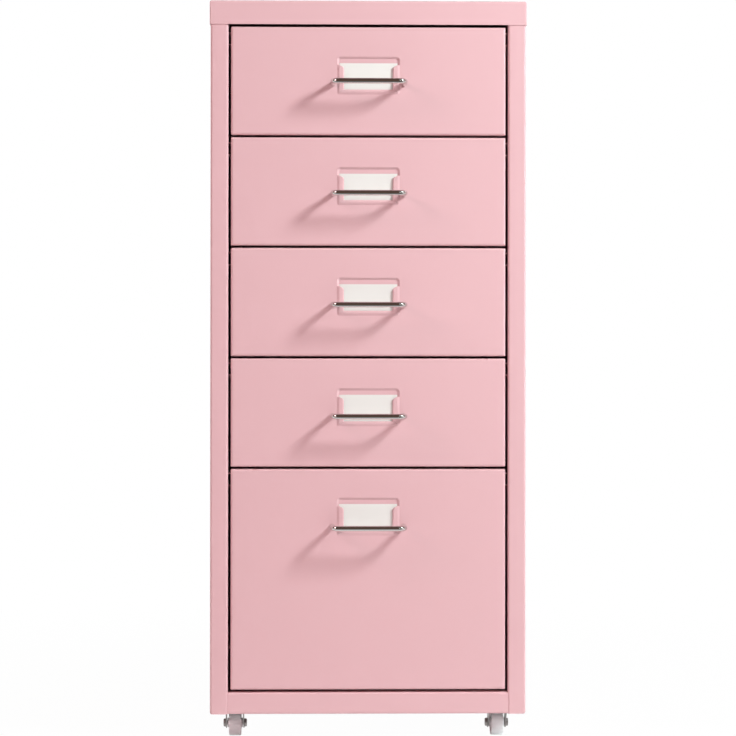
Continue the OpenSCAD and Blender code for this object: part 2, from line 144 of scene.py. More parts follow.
def surface(points, loop=False, keep=None, caps=(), outward=None):
    """A grid of points as quads, each row closed to a loop where asked, without the cells outside keep,
    and with the first (0) or last (-1) row closed by one face. An open sheet is turned to face outward:
    the direction that the sum of its faces' area vectors should have."""
    rows, cols = points.shape[:2]
    i = np.arange(rows - 1)[:, None]
    j = np.arange(cols if loop else cols - 1)[None, :]
    down, over = i + 1, (j + 1) % cols
    quads = np.stack([i * cols + j, i * cols + over, down * cols + over, down * cols + j], -1)
    quads = quads[keep] if keep is not None else quads.reshape(-1, 4)
    flat = points.reshape(-1, 3)
    ends = [np.arange(cols)[::-1] if row == 0 else (rows - 1) * cols + np.arange(cols) for row in caps]
    if outward is not None:
        p = flat[quads]
        area = np.cross(p[:, 2] - p[:, 0], p[:, 3] - p[:, 1]).sum(0)
        if area @ np.asarray(outward, float) < 0:
            quads, ends = quads[:, ::-1], [e[::-1] for e in ends]
    return flat, quads.tolist() + [e.tolist() for e in ends]


def folded(u, v, place, keep, outward):
    """A folded sheet. The profile u runs across it and v along it, and each gives a place and a depth
    behind the flat face: a point takes its place across from u, along from v, and the depth of both.
    keep says which cells stay, from the middles of u and v, where a corner is notched."""
    uu, vv = u[None, :, :], v[:, None, :]
    across, along, du, dv = np.broadcast_arrays(uu[..., 0], vv[..., 0], uu[..., 1], vv[..., 1])
    points = np.stack(np.broadcast_arrays(*place(across, along, du, dv)), -1)
    if keep is None:
        return surface(points, outward=outward)
    um, vm = (u[:-1] + u[1:]) / 2, (v[:-1] + v[1:]) / 2
    cells = keep(um[None, :, 0], vm[:, None, 0], um[None, :, 1], vm[:, None, 1])
    return surface(points, keep=np.broadcast_to(cells, (len(v) - 1, len(u) - 1)), outward=outward)


def lathe(profile, origin, axis=(0, 0, 1), sides=48):
    """A profile of (radius, height) points turned about an axis: each point goes round a circle of its
    radius, in the plane across the axis at its height. Points at radius 0 close the poles."""
    axis = np.asarray(axis, float)
    first = np.cross(axis, (0, 1, 0) if abs(axis[1]) < 0.9 else (0, 0, 1))
    first /= np.linalg.norm(first)
    second = np.cross(axis, first)
    angle = np.linspace(0, 2 * math.pi, sides, endpoint=False)
    round_ = np.cos(angle)[:, None] * first + np.sin(angle)[:, None] * second
    profile = np.asarray(profile, float)
    points = (np.asarray(origin, float) + profile[:, 1, None, None] * axis
              + profile[:, 0, None, None] * round_[None])
    return surface(points, loop=True)


def rod(path, radius, sides=28):
    """A round rod along a path that lies in a level plane: at each point a circle spanned by the plane's
    normal and the path's own normal, which bisects the bend there."""
    run = np.gradient(path, axis=0)
    run /= np.linalg.norm(run, axis=1, keepdims=True)
    up = np.array([0.0, 0.0, 1.0])
    aside = np.cross(run, up)
    angle = np.linspace(0, 2 * math.pi, sides, endpoint=False)[None, :, None]
    points = path[:, None] + radius * (np.cos(angle) * up + np.sin(angle) * aside[:, None])
    return surface(points, loop=True, caps=(0, -1))


def plate(low, high, radius=PLATE_R, corner=0.0):
    """A flat block with rounded edges: rounded rectangles stacked along Z. Each one's inset and height
    follow a quarter round at the bottom edge and another at the top, radius * (1 - sin) and (1 - cos)."""
    low, high = np.asarray(low, float), np.asarray(high, float)
    half, mid = (high - low) / 2, (high + low) / 2
    radius = min(radius, half.min() * PLATE_MOST)
    corner = max(corner, radius * PLATE_CORNER)
    turn = np.linspace(0, math.pi / 2, 4)
    inset = radius * np.concatenate([1 - np.sin(turn), 1 - np.cos(turn)])
    rise = np.concatenate([radius * (1 - np.cos(turn)) - half[2], half[2] - radius * (1 - np.sin(turn))])
    x, y = rounded_rectangle(half[0] - inset, half[1] - inset, corner - inset, steps=4)
    points = np.stack([x + mid[0], y + mid[1], np.broadcast_to(rise[:, None], x.shape) + mid[2]], -1)
    return surface(points, loop=True, caps=(0, -1))


# rings of a pan head: shares of its radius, and of its height there
HEAD_RINGS = [(0, 1), (0.12, 1), (0.22, 0.995), (0.32, 0.99), (0.42, 0.98), (0.52, 0.96), (0.62, 0.93),
              (0.75, 0.87), (0.88, 0.75), (0.96, 0.6), (1.0, 0.42)]
RECESS_W = 0.13             # half an arm's width of the cross recess, its reach and its depth, as shares
RECESS_REACH = 0.5
RECESS_DEPTH = 0.55


def pan_head(radius, height, origin, axis, shank_r, shank):
    """Screw with a domed pan head: rings of the head's height, sunk where the two arms of the cross
    recess pass, then the head's side and the shank behind it. A ring's points go round the axis at
    r * cos and r * sin."""
    axis = np.asarray(axis, float)
    first = np.cross(axis, (0, 0, 1) if abs(axis[2]) < 0.9 else (1, 0, 0))
    second = np.cross(axis, first)
    angle = np.linspace(0, 2 * math.pi, 32, endpoint=False)[None, :]
    r, dome = (np.array(HEAD_RINGS) * (radius, height)).T[..., None]
    a, b = r * np.cos(angle), r * np.sin(angle)
    arm = np.minimum(np.abs(a), np.abs(b)) < RECESS_W * radius
    sunk = arm & (np.maximum(np.abs(a), np.abs(b)) < RECESS_REACH * radius)
    h = dome - np.where(sunk, RECESS_DEPTH * height, 0)
    tail = np.array([(radius, 0), (shank_r, 0), (shank_r, -shank), (0, -shank)])
    a = np.concatenate([a, tail[:, :1] * np.cos(angle)])
    b = np.concatenate([b, tail[:, :1] * np.sin(angle)])
    h = np.concatenate([h, np.broadcast_to(tail[:, 1:], (len(tail), angle.size))])
    points = (np.asarray(origin, float) + a[..., None] * first + b[..., None] * second
              + h[..., None] * axis)
    return surface(points, loop=True)


def piece(name, shells, body, material, nodes, wall=0.0, edge=0.0):
    """One piece from its shells: their points in one list, with each shell's faces counted on from the
    points before it. wall thickens open sheets behind their faces, edge rounds their cut edges, and
    weighted normals keep the flats flat beside their bends."""
    starts = np.cumsum([0] + [len(points) for points, _ in shells])
    faces = [[k + int(s) for k in f] for s, (_, fs) in zip(starts, shells) for f in fs]
    mesh = bpy.data.meshes.new(name)
    mesh.from_pydata(np.concatenate([points for points, _ in shells]).tolist(), [], faces)
    shape = bmesh.new()
    shape.from_mesh(mesh)
    bmesh.ops.remove_doubles(shape, verts=shape.verts, dist=SAME)
    loose = [v for v in shape.verts if not v.link_faces]
    bmesh.ops.delete(shape, geom=loose, context="VERTS")
    if not wall:
        bmesh.ops.recalc_face_normals(shape, faces=shape.faces)
    shape.to_mesh(mesh)
    shape.free()
    mesh.shade_smooth()
    mesh.set_sharp_from_angle(angle=SOFT_TURN)
    mesh.materials.append(material)
    made = bpy.data.objects.new(name, mesh)
    bpy.context.scene.collection.objects.link(made)
    if wall:
        solid = made.modifiers.new("wall", "SOLIDIFY")
        solid.thickness, solid.offset, solid.use_even_offset = wall, -1, True
    if edge:
        bevel = made.modifiers.new("edge", "BEVEL")
        bevel.width, bevel.segments, bevel.limit_method = edge, 2, "ANGLE"
        bevel.angle_limit = CUT_TURN
    weighted = made.modifiers.new("flats", "WEIGHTED_NORMAL")
    weighted.keep_sharp = True
    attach(made, body)
    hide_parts(*nodes)


# ---------- Finishes ----------


def colour(code):
    """An sRGB hex colour as linear RGBA."""
    s = np.array([int(code[k:k + 2], 16) for k in (1, 3, 5)]) / 255
    return (*np.where(s <= 0.04045, s / 12.92, ((s + 0.055) / 1.055) ** 2.4).tolist(), 1.0)


def add(tree, kind, inputs=(), **settings):
    """Adds a node: settings are its own, and inputs give each socket a value, a node whose first output it
    takes, or (node, output)."""
    made = tree.nodes.new(kind)
    for key, value in settings.items():
        setattr(made, key, value)
    for key, value in dict(inputs).items():
        source, output = value if isinstance(value, tuple) and len(value) == 2 else (value, 0)
        if isinstance(source, bpy.types.Node):
            tree.links.new(source.outputs[output], made.inputs[key])
        else:
            made.inputs[key].default_value = value
    return made


def finish(name, base, **sockets):
    """A material with one Principled shader, and its node tree, shader and object coordinates. sockets
    are the shader's own values, by their names in small letters."""
    made = bpy.data.materials.new(name)
    made.use_nodes = True
    tree = made.node_tree
    shader = tree.nodes["Principled BSDF"]
    shader.inputs["Base Color"].default_value = colour(base)
    for key, value in sockets.items():
        shader.inputs[key.replace("_", " ").title().replace("Ior", "IOR")].default_value = value
    return made, tree, shader, (add(tree, "ShaderNodeTexCoord"), "Object")


def relief(tree, shader, where, heights):
    """Bump from noises laid over each other: each is (size of a feature, depth, detail), and its scale is
    one over the size."""
    last = None
    for size, depth, detail in heights:
        noise = add(tree, "ShaderNodeTexNoise", {"Vector": where, "Scale": 1 / size, "Detail": detail})
        inputs = {"Height": noise, "Strength": 1.0, "Distance": depth}
        if last:
            inputs["Normal"] = (last, "Normal")
        last = add(tree, "ShaderNodeBump", inputs)
    tree.links.new(last.outputs["Normal"], shader.inputs["Normal"])


def powder_coat(name, paint):
    """Polyester powder coat on cold rolled steel, sprayed and baked. The eye gets one even colour with a
    semi-gloss, highlights that run softly along the folds, a fine orange peel 1.2 mm across, and flats
    that are not dead true, as thin sheet never is."""
    made, tree, shader, where = finish(name, paint, roughness=0.17, specular_ior_level=0.4)
    relief(tree, shader, where, [(1.2 * MM, 0.006 * MM, 1.0), (90 * MM, 0.25 * MM, 0.0)])
    return made


def chrome_plate(name):
    """Bright chromium on a steel rod, polished before plating. The eye gets a dark mirror of the room with
    hard highlights, a little soft from the polishing."""
    made, tree, shader, where = finish(name, "#D2CFCC", metallic=1.0, roughness=0.12)
    relief(tree, shader, where, [(0.5 * MM, 0.0006 * MM, 2.0)])
    return made


def zinc_plate(name):
    """Clear zinc plate on pressed steel. The eye gets a plain grey, dull beside chrome, with cloudy
    patches about 4 mm across from the bath."""
    made, tree, shader, where = finish(name, "#96918F", metallic=1.0)
    cloud = add(tree, "ShaderNodeTexNoise", {"Vector": where, "Scale": 1 / (4 * MM), "Detail": 3.0})
    rough = add(tree, "ShaderNodeMapRange", {"Value": cloud, "To Min": 0.3, "To Max": 0.5})
    tree.links.new(rough.outputs["Result"], shader.inputs["Roughness"])
    relief(tree, shader, where, [(0.6 * MM, 0.002 * MM, 2.0)])
    return made


def nylon(name):
    """Natural nylon, injection moulded. The eye gets a milky white, satin, and a little soft where the
    light goes in, by about a millimetre."""
    made, tree, shader, where = finish(name, "#F8FAFB", roughness=0.45, subsurface_weight=0.2)
    shader.inputs["Subsurface Radius"].default_value = (1, 1, 1)
    shader.inputs["Subsurface Scale"].default_value = 1.2 * MM
    relief(tree, shader, where, [(0.7 * MM, 0.004 * MM, 2.0)])
    return made


def card_stock(name):
    """Uncoated white card. The eye gets a flat off-white without gloss, and fibres half a millimetre long
    that just show."""
    made, tree, shader, where = finish(name, "#EEEBE6", roughness=0.92, specular_ior_level=0.2)
    relief(tree, shader, where, [(0.5 * MM, 0.01 * MM, 4.0), (25 * MM, 0.15 * MM, 0.0)])
    return made


PINK = "#E9BCC0"
body_paint = powder_coat("polyester_powder_coat_body", PINK)
drawer_paint = powder_coat("polyester_powder_coat_drawers", PINK)
chrome = chrome_plate("bright_chrome_plate")
zinc = zinc_plate("clear_zinc_plate")
wheel_nylon = nylon("moulded_nylon")
paper = card_stock("uncoated_card")

# ---------- Body ----------

side_low, side_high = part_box("right_side_panel")
base_low, base_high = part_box("base_panel")
back_low, back_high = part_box("back_panel")
FRONT_Y, REAR_Y = side_low.y, side_high.y
OPENING_X, SIDE_X = side_low.x, side_high.x
BODY_BOTTOM, PANEL_TOP = side_low.z, side_high.z
POST_W = SIDE_X - OPENING_X
POST_LIP_D = 10 * MM
FLANGE_W = 14 * MM
TOP_RING = 14 * MM          # from the cap's edge to the last loop of its flat top
FOOT_IN = 0.75 * MM         # how far the bottom edge of a side turns in
FOOT_H = 1.3 * MM           # and from what height
FOOT_R = 2.0 * MM
APRON_SET_BACK = 0.5 * MM   # of the apron behind the posts
APRON_REACH = 0.5 * MM      # of the apron's ends, behind the folds of the posts
APRON_FOOT_R = 2.0 * MM
HEM_D = 8 * MM              # fold at the top of the apron
HEM_DROP = 0.6 * MM         # of the fold's front edge below its back edge
NOTCH_D = 2.5 * MM          # the pan's front corners are cut away this far behind the posts
NOTCH_FLAT = 1.0 * MM       # flat bottom behind the notch, up to the first line across the pan


def top_cap():
    """Folded cap: rounded rectangles whose inset and height follow the skirt, the fold and the flat top."""
    low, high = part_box("top_panel")
    section = rounded_path([(0, low.z), (0, high.z), (TOP_RING, high.z)], FOLD_R)
    inset = section[:, 0]
    x, y = rounded_rectangle((high.x - low.x) / 2 - inset, (high.y - low.y) / 2 - inset,
                             np.maximum(CAP_CORNER_R - inset, LEAST_R))
    z = np.broadcast_to(section[:, 1, None], x.shape)
    points = np.stack([x + (low.x + high.x) / 2, y + (low.y + high.y) / 2, z], -1)
    return [surface(points, loop=True, caps=(-1,), outward=(0, 0, 1))]


def side_panel(side):
    """Skin with its post and lip folded at the front, a flange at the rear and one at the top. Across, a
    point goes in by the depth of u. Up, it goes in by the depth of v, times the share of the post's width
    that is left there, so the bottom edge turns in less and less towards the opening."""
    u = rounded_path([(FRONT_Y + POST_LIP_D, POST_W), (FRONT_Y, POST_W), (FRONT_Y, 0),
                      (REAR_Y, 0), (REAR_Y, FLANGE_W)], FOLD_R)
    v = rounded_path([(BODY_BOTTOM, FOOT_IN), (BODY_BOTTOM + FOOT_H, 0), (PANEL_TOP, 0),
                      (PANEL_TOP, FLANGE_W)], [FOOT_R, FOLD_R])
    top = PANEL_TOP - FOLD_R

    def place(across, along, du, dv):
        return side * (SIDE_X - du - dv * np.clip(1 - du / POST_W, 0, 1)), across, along

    def keep(um, vm, du, dv):
        """The top flange is only as wide as the flat side: the folds at its ends stop below it."""
        return (vm < top) | (du < SAME)

    return [folded(u, v, place, keep, (side, 0, 0))]


def base_panel():
    """Pan with its sides turned up: a point's height is the sum of the two depths. The apron stands only
    between the posts, and folds back at its top."""
    inside = SIDE_X - SHEET
    apron_x = OPENING_X + APRON_REACH
    notch_y = FRONT_Y + NOTCH_D
    rise = base_high.z - base_low.z
    face_y = FRONT_Y + APRON_SET_BACK
    u = rounded_path([(-inside, rise), (-inside, 0), (inside, 0), (inside, rise)], FOLD_R)
    u = with_stops(u, 0, [-apron_x, apron_x])
    v = rounded_path([(FRONT_Y + HEM_D, rise), (face_y, rise - HEM_DROP), (face_y, 0), (base_high.y, 0),
                      (base_high.y, rise)], [FOLD_R, APRON_FOOT_R, FOLD_R])
    v = with_stops(v, 0, [notch_y + NOTCH_FLAT])

    def keep(um, vm, du, dv):
        """No cell is turned up both ways, and outside the apron's width nothing stands before the notch."""
        return ((du < SAME) | (dv < SAME)) & ((abs(um) < apron_x) | (vm > notch_y))

    return [folded(u, v, lambda a, b, du, dv: (a, b, base_low.z + du + dv), keep, (0, 0, -1))]


piece("top_cap", top_cap(), "carcass", body_paint, ["top_panel"], SHEET, EDGE_R)
for side_name, side_sign in SIDES.items():
    piece(f"{side_name}_side", side_panel(side_sign), "carcass", body_paint,
          [f"{side_name}_side_panel"], SHEET, EDGE_R)
piece("base_pan", base_panel(), "carcass", body_paint, ["base_panel"], SHEET, EDGE_R)
piece("back_sheet", [plate(back_low, back_high)], "carcass", body_paint, ["back_panel"])

# ---------- Runners ----------


def runner(side, low, high):
    """Channel open towards the drawer: its fold profile of top, web and bottom is drawn along Y."""
    inner, outer = sorted((low.x * side, high.x * side))
    u = rounded_path([(inner, 0), (outer, 0), (outer, high.z - low.z), (inner, high.z - low.z)],
                     RUNNER_FOLD_R)
    v = np.array([(low.y, 0), (high.y, 0)])
    return [folded(u, v, lambda a, b, du, dv: (side * a, b, high.z - du), None, (side, 0, 0))]


def runner_stop(side, low, high):
    """The stop: a plate of its own, welded under the channel's top at the front, where the tray's tab
    meets it."""
    inner = min(low.x * side, high.x * side)
    top = high.z - RUNNER_SHEET - WELD_GAP
    x = sorted((side * inner, side * (inner + STOP_W)))
    return [plate((x[0], low.y, top - STOP_H), (x[1], low.y + RUNNER_SHEET, top))]


for side_name, side_sign in SIDES.items():
    for i in DRAWERS:
        node = f"{side_name}_runner_{i}"
        piece(f"{side_name}_slide_{i}", runner(side_sign, *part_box(node)), "carcass",
              body_paint, [node], RUNNER_SHEET, EDGE_R)
        piece(f"{side_name}_slide_stop_{i}", runner_stop(side_sign, *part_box(node)), "carcass",
              body_paint, [node])

# ---------- Drawers ----------

CARD_SIDE_GAP = 2.1 * MM
CARD_DROP = 4.8 * MM
CARD_T = 0.3 * MM
CARD_GAP = 0.02 * MM        # between the card and the pocket's floor at its edges
CARD_BOW = 0.08 * MM        # more than that at its middle
POCKET_SLOPE = 2.0 * MM     # how far the pocket's drawn walls lean in on their way down
POCKET_CORNER_R = 3.2 * MM
POCKET_CORNER_FALL = 0.7    # the corner's radius falls by this share of a loop's inset
POCKET_OVER = 1.1 * MM      # the drawn wall's rounding above the pocket
POCKET_LIP_R = 0.7 * MM
POCKET_FOOT_R = 0.5 * MM
POCKET_RING = 2.0 * MM      # flat that the loops draw outside the pocket, and on its floor
FACE_RING = 12 * MM         # from the front's edge to the last loop before the pocket
FRAME_SIDE_W = 6.4 * MM
FRAME_BOTTOM_H = 4.5 * MM
FRAME_OPEN_H = 6.6 * MM     # from the top of the pocket down to the frame's arms
FRAME_CORNER_R = 3.4 * MM
FRAME_FOOT_R = 2.0 * MM     # lower corners of the frame's outline
FRAME_SILL_R = 0.9 * MM     # lower corners of its window
FRAME_TIP_H = 0.8 * MM      # slope at the top end of an arm
# the frame's section: millimetres out from the pocket's outline, or back from the window's, and the share
# of the frame's height there
FRAME_SLOPE = [(0.1, 0), (-0.2, 0.09), (-0.7, 0.3), (-1.2, 0.55), (-1.65, 0.78), (-2.05, 0.94), (-2.4, 1.0)]
FRAME_WINDOW = [(1.05, 1.0), (0.75, 0.95), (0.45, 0.78), (0.18, 0.56), (0, 0.4)]
FRAME_TIP = 0.35            # share of the frame's height that the very end of an arm keeps below
FRAME_UNDER = 0.2           # share of it at the frame's underside
FRAME_UNDER_IN = 1.0 * MM   # of the underside's outer edge, and of the edge behind it
FRAME_BACK_IN = 0.3 * MM
SUNK = 0.2 * MM             # how far the frame's own edges go in behind the drawer's face
PULL_BEND_R = 6 * MM
PULL_SHANK_R = 1.5 * MM     # shank of the screw that holds the rod
PULL_SHANK = 6 * MM
TAB_MARGIN = 1 * MM         # of a stop's tab, from the wall beside it


def pocket(i):
    """The pressed pocket of drawer i: half its width, its bottom and its top, from its card's box."""
    low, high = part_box(f"label_card_{i}")
    return high.x + CARD_SIDE_GAP, low.z, high.z + CARD_DROP + POCKET_OVER


def drawer_front(i):
    """One pressed sheet: loops of rounded rectangles follow the folded edge, cross the flat face to the
    pocket's outline, and go down over its lip to its floor."""
    low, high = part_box(f"drawer_front_{i}")
    half_w, half_h, mid_z = (high.x - low.x) / 2, (high.z - low.z) / 2, (high.z + low.z) / 2
    edge = rounded_path([(0, high.y), (0, FRONT_Y), (FACE_RING, FRONT_Y)], FOLD_R)
    x, z = rounded_rectangle(half_w - edge[:, 0], half_h - edge[:, 0],
                             np.maximum(FRONT_CORNER_R - edge[:, 0], LEAST_R))
    outer = np.stack([x, np.broadcast_to(edge[:, 1, None], x.shape), z + mid_z], -1)
    reach, bottom, top = pocket(i)
    floor_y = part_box(f"label_card_{i}")[1].y
    lip = rounded_path([(-POCKET_RING, FRONT_Y), (0, FRONT_Y), (POCKET_SLOPE, floor_y),
                        (POCKET_SLOPE + POCKET_RING, floor_y)], [POCKET_LIP_R, POCKET_FOOT_R],
                       steps=5)
    x, z = rounded_rectangle(reach - lip[:, 0], (top - bottom) / 2 - lip[:, 0],
                             np.maximum(POCKET_CORNER_R - lip[:, 0] * POCKET_CORNER_FALL, LEAST_R))
    inner = np.stack([x, np.broadcast_to(lip[:, 1, None], x.shape), z + (top + bottom) / 2], -1)
    return [surface(np.concatenate([outer, inner]), loop=True, caps=(-1,), outward=(0, -1, 0))]


def label_frame(i):
    """The holder's raised frame, round three sides of the pocket. Its section goes up a slope, across the
    face and down a shorter slope, and back underneath. Each place in the section follows the outer
    outline or the window's, set out or back by a distance, and the arms slope down at their top ends.
    Both outlines are straight runs and quarter circles, from the right arm's top to the middle, and the
    left half mirrors the right."""
    reach, bottom, top = pocket(i)
    height = FRONT_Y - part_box(f"drawer_front_{i}")[0].y
    arm_top = top - POCKET_OVER - FRAME_OPEN_H - FRAME_TIP_H
    inside = reach - FRAME_SIDE_W
    sill = bottom + FRAME_BOTTOM_H
    t = np.linspace(0, 1, 7)[:, None]
    turn = t[:, 0] * math.pi / 2

    def outer(out):
        """Outer outline from the top of the right arm down and in to the middle, set out by a distance."""
        r = FRAME_FOOT_R + out
        x, low = reach + out, bottom - out
        arm = [x, arm_top] + t * [0, -FRAME_CORNER_R]
        bend = np.stack([x - r + r * np.cos(turn), low + r - r * np.sin(turn)], -1)
        return np.concatenate([arm, bend, [[0, low]]])

    def inner(back):
        """Window's outline: the rounded top of the arm, its inner edge, the corner and the sill, set back."""
        r, c = FRAME_SILL_R + back, FRAME_CORNER_R
        x, low = inside + back, sill - back
        arm = np.stack([inside + c - (c - back) * np.sin(turn), arm_top - c + c * np.cos(turn)], -1)
        bend = np.stack([x - r + r * np.cos(turn), low + r - r * np.sin(turn)], -1)
        return np.concatenate([arm, bend, [[0, low]]])

    under_y = FRONT_Y - height * FRAME_UNDER
    rows = [(outer(FRAME_SLOPE[0][0] * MM), FRONT_Y + SUNK)]
    rows += [(outer(out * MM), FRONT_Y - height * up) for out, up in FRAME_SLOPE]
    rows += [(inner(back * MM), FRONT_Y - height * up) for back, up in FRAME_WINDOW]
    rows += [(inner(0), under_y), (outer(-FRAME_UNDER_IN), under_y),
             (outer(-FRAME_BACK_IN), FRONT_Y + SUNK)]
    half = np.stack([np.stack([line[:, 0], np.full(len(line), y), line[:, 1]], -1) for line, y in rows], 1)
    tip = half[:1].copy()
    tip[..., 1] = np.maximum(tip[..., 1], FRONT_Y - height * FRAME_TIP)
    tip[..., 2] += FRAME_TIP_H
    half = np.concatenate([tip, half])
    other = half[-2::-1] * [-1, 1, 1]
    return [surface(np.concatenate([half, other]), loop=True, caps=(0, -1))]


def label_card(i):
    """Card with a slight bow, standing in the pocket behind the frame: a flat grid that comes forward by
    the bow times sin(pi * s), with s from 0 to 1 across."""
    low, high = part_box(f"label_card_{i}")
    s = np.linspace(0, 1, 17)[None, :]
    t = np.linspace(0, 1, 9)[:, None]
    foot = low.z + POCKET_SLOPE
    x = low.x + (high.x - low.x) * s
    y = high.y - CARD_GAP - CARD_BOW * np.sin(math.pi * s) - CARD_T
    z = foot + (high.z - foot) * t
    return [surface(np.stack(np.broadcast_arrays(x, y, z), -1), outward=(0, -1, 0))]


def tray_places(i):
    """The tray's box, the top of its rim and the outer face of its walls."""
    low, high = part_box(f"drawer_tray_{i}")
    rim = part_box(f"right_runner_{i}")[0].z + RUNNER_SHEET + SEAT_GAP + DRAWER_SHEET
    return low, high, rim, high.x - RIM_W


def drawer_tray(i):
    """Four welded sheets: a flat bottom, a flat rear wall, and two sides. A side's profile is wall and
    rim, both folded out, and along it the front flange and the wall."""
    low, high, rim, wall_x = tray_places(i)
    wall_z = low.z + DRAWER_SHEET + WELD_GAP
    inner_x = wall_x - DRAWER_SHEET
    rear_x = inner_x - WELD_GAP
    shells = [surface(np.array([[(x, y, low.z) for x in (-wall_x, wall_x)] for y in (low.y, high.y)]),
                      outward=(0, 0, -1)),
              surface(np.array([[(x, high.y, z) for x in (-rear_x, rear_x)] for z in (wall_z, rim)]),
                      outward=(0, 1, 0))]
    for side in SIDES.values():
        u = rounded_path([(wall_z, 0), (rim, 0), (rim, high.x - inner_x)], TRAY_FOLD_R)
        v = rounded_path([(low.y, high.x - inner_x), (low.y, 0), (high.y, 0)], TRAY_FOLD_R)
        shells.append(folded(u, v, lambda a, b, du, dv: (side * (inner_x + du + dv), b, a),
                             lambda um, vm, du, dv: (du < SAME) | (dv < SAME), (-side, 0, 0)))
    return shells


def stop_tabs(i):
    """Tabs turned up from the rim, which meet the runners' stops when the drawer is pulled right out."""
    _, high, rim, wall_x = tray_places(i)
    travel = next(j["range_m"][1] for j in frame["joints"] if j["name"] == f"drawer_{i}_slide")
    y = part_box(f"right_runner_{i}")[0].y + RUNNER_SHEET + SEAT_GAP + travel
    z = rim - DRAWER_SHEET / 2
    return [plate((x, y, z), (x + RIM_W - TAB_MARGIN, y + DRAWER_SHEET, high.z))
            for x in (-high.x, wall_x + TAB_MARGIN)]


def pull(i):
    """Bent rod: out from the face, round a bend, across and back, as a circle carried along the path."""
    low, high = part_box(f"handle_{i}")
    r = (high.z - low.z) / 2
    x, y, z = high.x - r, low.y + r, (high.z + low.z) / 2
    path = rounded_path([(-x, high.y, z), (-x, y, z), (x, y, z), (x, high.y, z)], PULL_BEND_R, steps=12)
    return [rod(path, r)]


for i in DRAWERS:
    body = f"drawer_{i}"
    piece(f"front_{i}", drawer_front(i), body, drawer_paint, [f"drawer_front_{i}"],
          DRAWER_SHEET, EDGE_R)
    piece(f"label_frame_{i}", label_frame(i), body, drawer_paint, [f"drawer_front_{i}"])
    piece(f"tray_{i}", drawer_tray(i), body, drawer_paint, [f"drawer_tray_{i}"],
          DRAWER_SHEET, TRAY_EDGE_R)
    piece(f"stop_tabs_{i}", stop_tabs(i), body, drawer_paint, [f"drawer_tray_{i}"])
    piece(f"card_{i}", label_card(i), body, paper, [f"label_card_{i}"], CARD_T)
    piece(f"pull_{i}", pull(i), body, chrome, [f"handle_{i}"])
    screw_low, screw_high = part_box(f"handle_screws_{i}")
    pull_low, pull_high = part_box(f"handle_{i}")
    rod_r = (pull_high.z - pull_low.z) / 2
    head_y = FRONT_Y + DRAWER_SHEET
    piece(f"pull_screws_{i}",
          [pan_head((screw_high.z - screw_low.z) / 2, screw_high.y - head_y,
                    (side * (pull_high.x - rod_r), head_y, (pull_high.z + pull_low.z) / 2),
                    (0, 1, 0), PULL_SHANK_R, PULL_SHANK) for side in SIDES.values()],
          body, zinc, [f"handle_screws_{i}"])

# ---------- Body screws ----------

BACK_HEAD_R = 3.6 * MM
BACK_HEAD_H = 1.8 * MM
BACK_SHANK_R = 2.0 * MM
BACK_SHANK = 4.2 * MM
BACK_ROWS = 3               # screws up each side of the back
BASE_SCREW_X = 60 * MM
flange_x = SIDE_X - FLANGE_W / 2
cap_low, cap_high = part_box("top_panel")
apron_top = base_high.z
opening_h = cap_low.z - apron_top
body_screws = []
for side in SIDES.values():
    body_screws += [(side * flange_x, REAR_Y, apron_top + (n + 0.5) * opening_h / BACK_ROWS)
                    for n in range(BACK_ROWS)]
    body_screws.append((side * flange_x, cap_high.y, (cap_low.z + cap_high.z) / 2))
    body_screws.append((side * BASE_SCREW_X, REAR_Y - SHEET, (base_low.z + base_high.z) / 2))
piece("back_screws",
      [pan_head(BACK_HEAD_R, BACK_HEAD_H, at, (0, 1, 0), BACK_SHANK_R, BACK_SHANK) for at in body_screws],
      "carcass", zinc, ["panel_screws"])

# ---------- Casters ----------

fork_low, fork_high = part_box("caster_fork_front_right")
wheel_low, wheel_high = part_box("caster_wheel_front_right")
plate_low, plate_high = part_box("caster_plate_front_right")
race_low, race_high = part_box("caster_races")
pin_low, pin_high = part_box("caster_kingpins")
mount_low, mount_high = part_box("caster_screws")
PIVOT_X, PIVOT_Y = (plate_low.x + plate_high.x) / 2, (plate_low.y + plate_high.y) / 2
TRAIL = (wheel_low.y + wheel_high.y) / 2 - PIVOT_Y
AXLE_Z = (wheel_low.z + wheel_high.z) / 2
WHEEL_R = (wheel_high.z - wheel_low.z) / 2
LEG_X = (fork_high.x - fork_low.x) / 2
LEG_T = 0.9 * MM
LEG_FLARE = 0.35 * MM       # the legs spread by this on their way down
LEG_FLARE_DROP = 3 * MM     # from this far below the crown's top
EYE_R = 5 * MM
EYE_ABOVE = 2.5 * MM        # last line across the leg above the axle
FORK_FOLD_R = 2.2 * MM
FORK_EDGE_R = 0.18 * MM
FORK_FRONT = PIVOT_Y - fork_low.y
FORK_BACK = 10 * MM         # behind the kingpin, at the crown
CROWN_TOP = fork_high.z
CROWN_BOTTOM = CROWN_TOP - 1.4 * MM
HUB_X = (wheel_high.x - wheel_low.x) / 2
HUB_R = 4.5 * MM
BORE_R = 2.1 * MM
WEB_HUB_X = 3.2 * MM        # half the web's thickness at the hub and at the rim
WEB_RIM_X = 3.0 * MM
RIM_D = 3.0 * MM
TREAD_X = 11.5 * MM / 2
TREAD_CROWN = 0.05 * MM
HUB_DRAFT = 0.5 * MM        # lean of the moulded walls, so that the wheel leaves its mould
RIM_DRAFT = 0.4 * MM
WHEEL_ROUNDS = np.array([0.4, 0.8, 0.9, 0.5, 0.6]) * MM     # hub's edge and foot, rim's foot and edges
AXLE_R = 2 * MM
AXLE_HEAD_W = 2.4 * MM
AXLE_FACE_R = 2.5 * MM      # flat end of the riveted head
AXLE_DOME = 0.2 * MM
AXLE_DOME_IN = 0.4 * MM
AXLE_ROUNDS = np.array([0.2, 0.3, 0.4, 0.2]) * MM           # from the shaft outwards
RACE_R = 5 * MM             # inner radius of the ball race
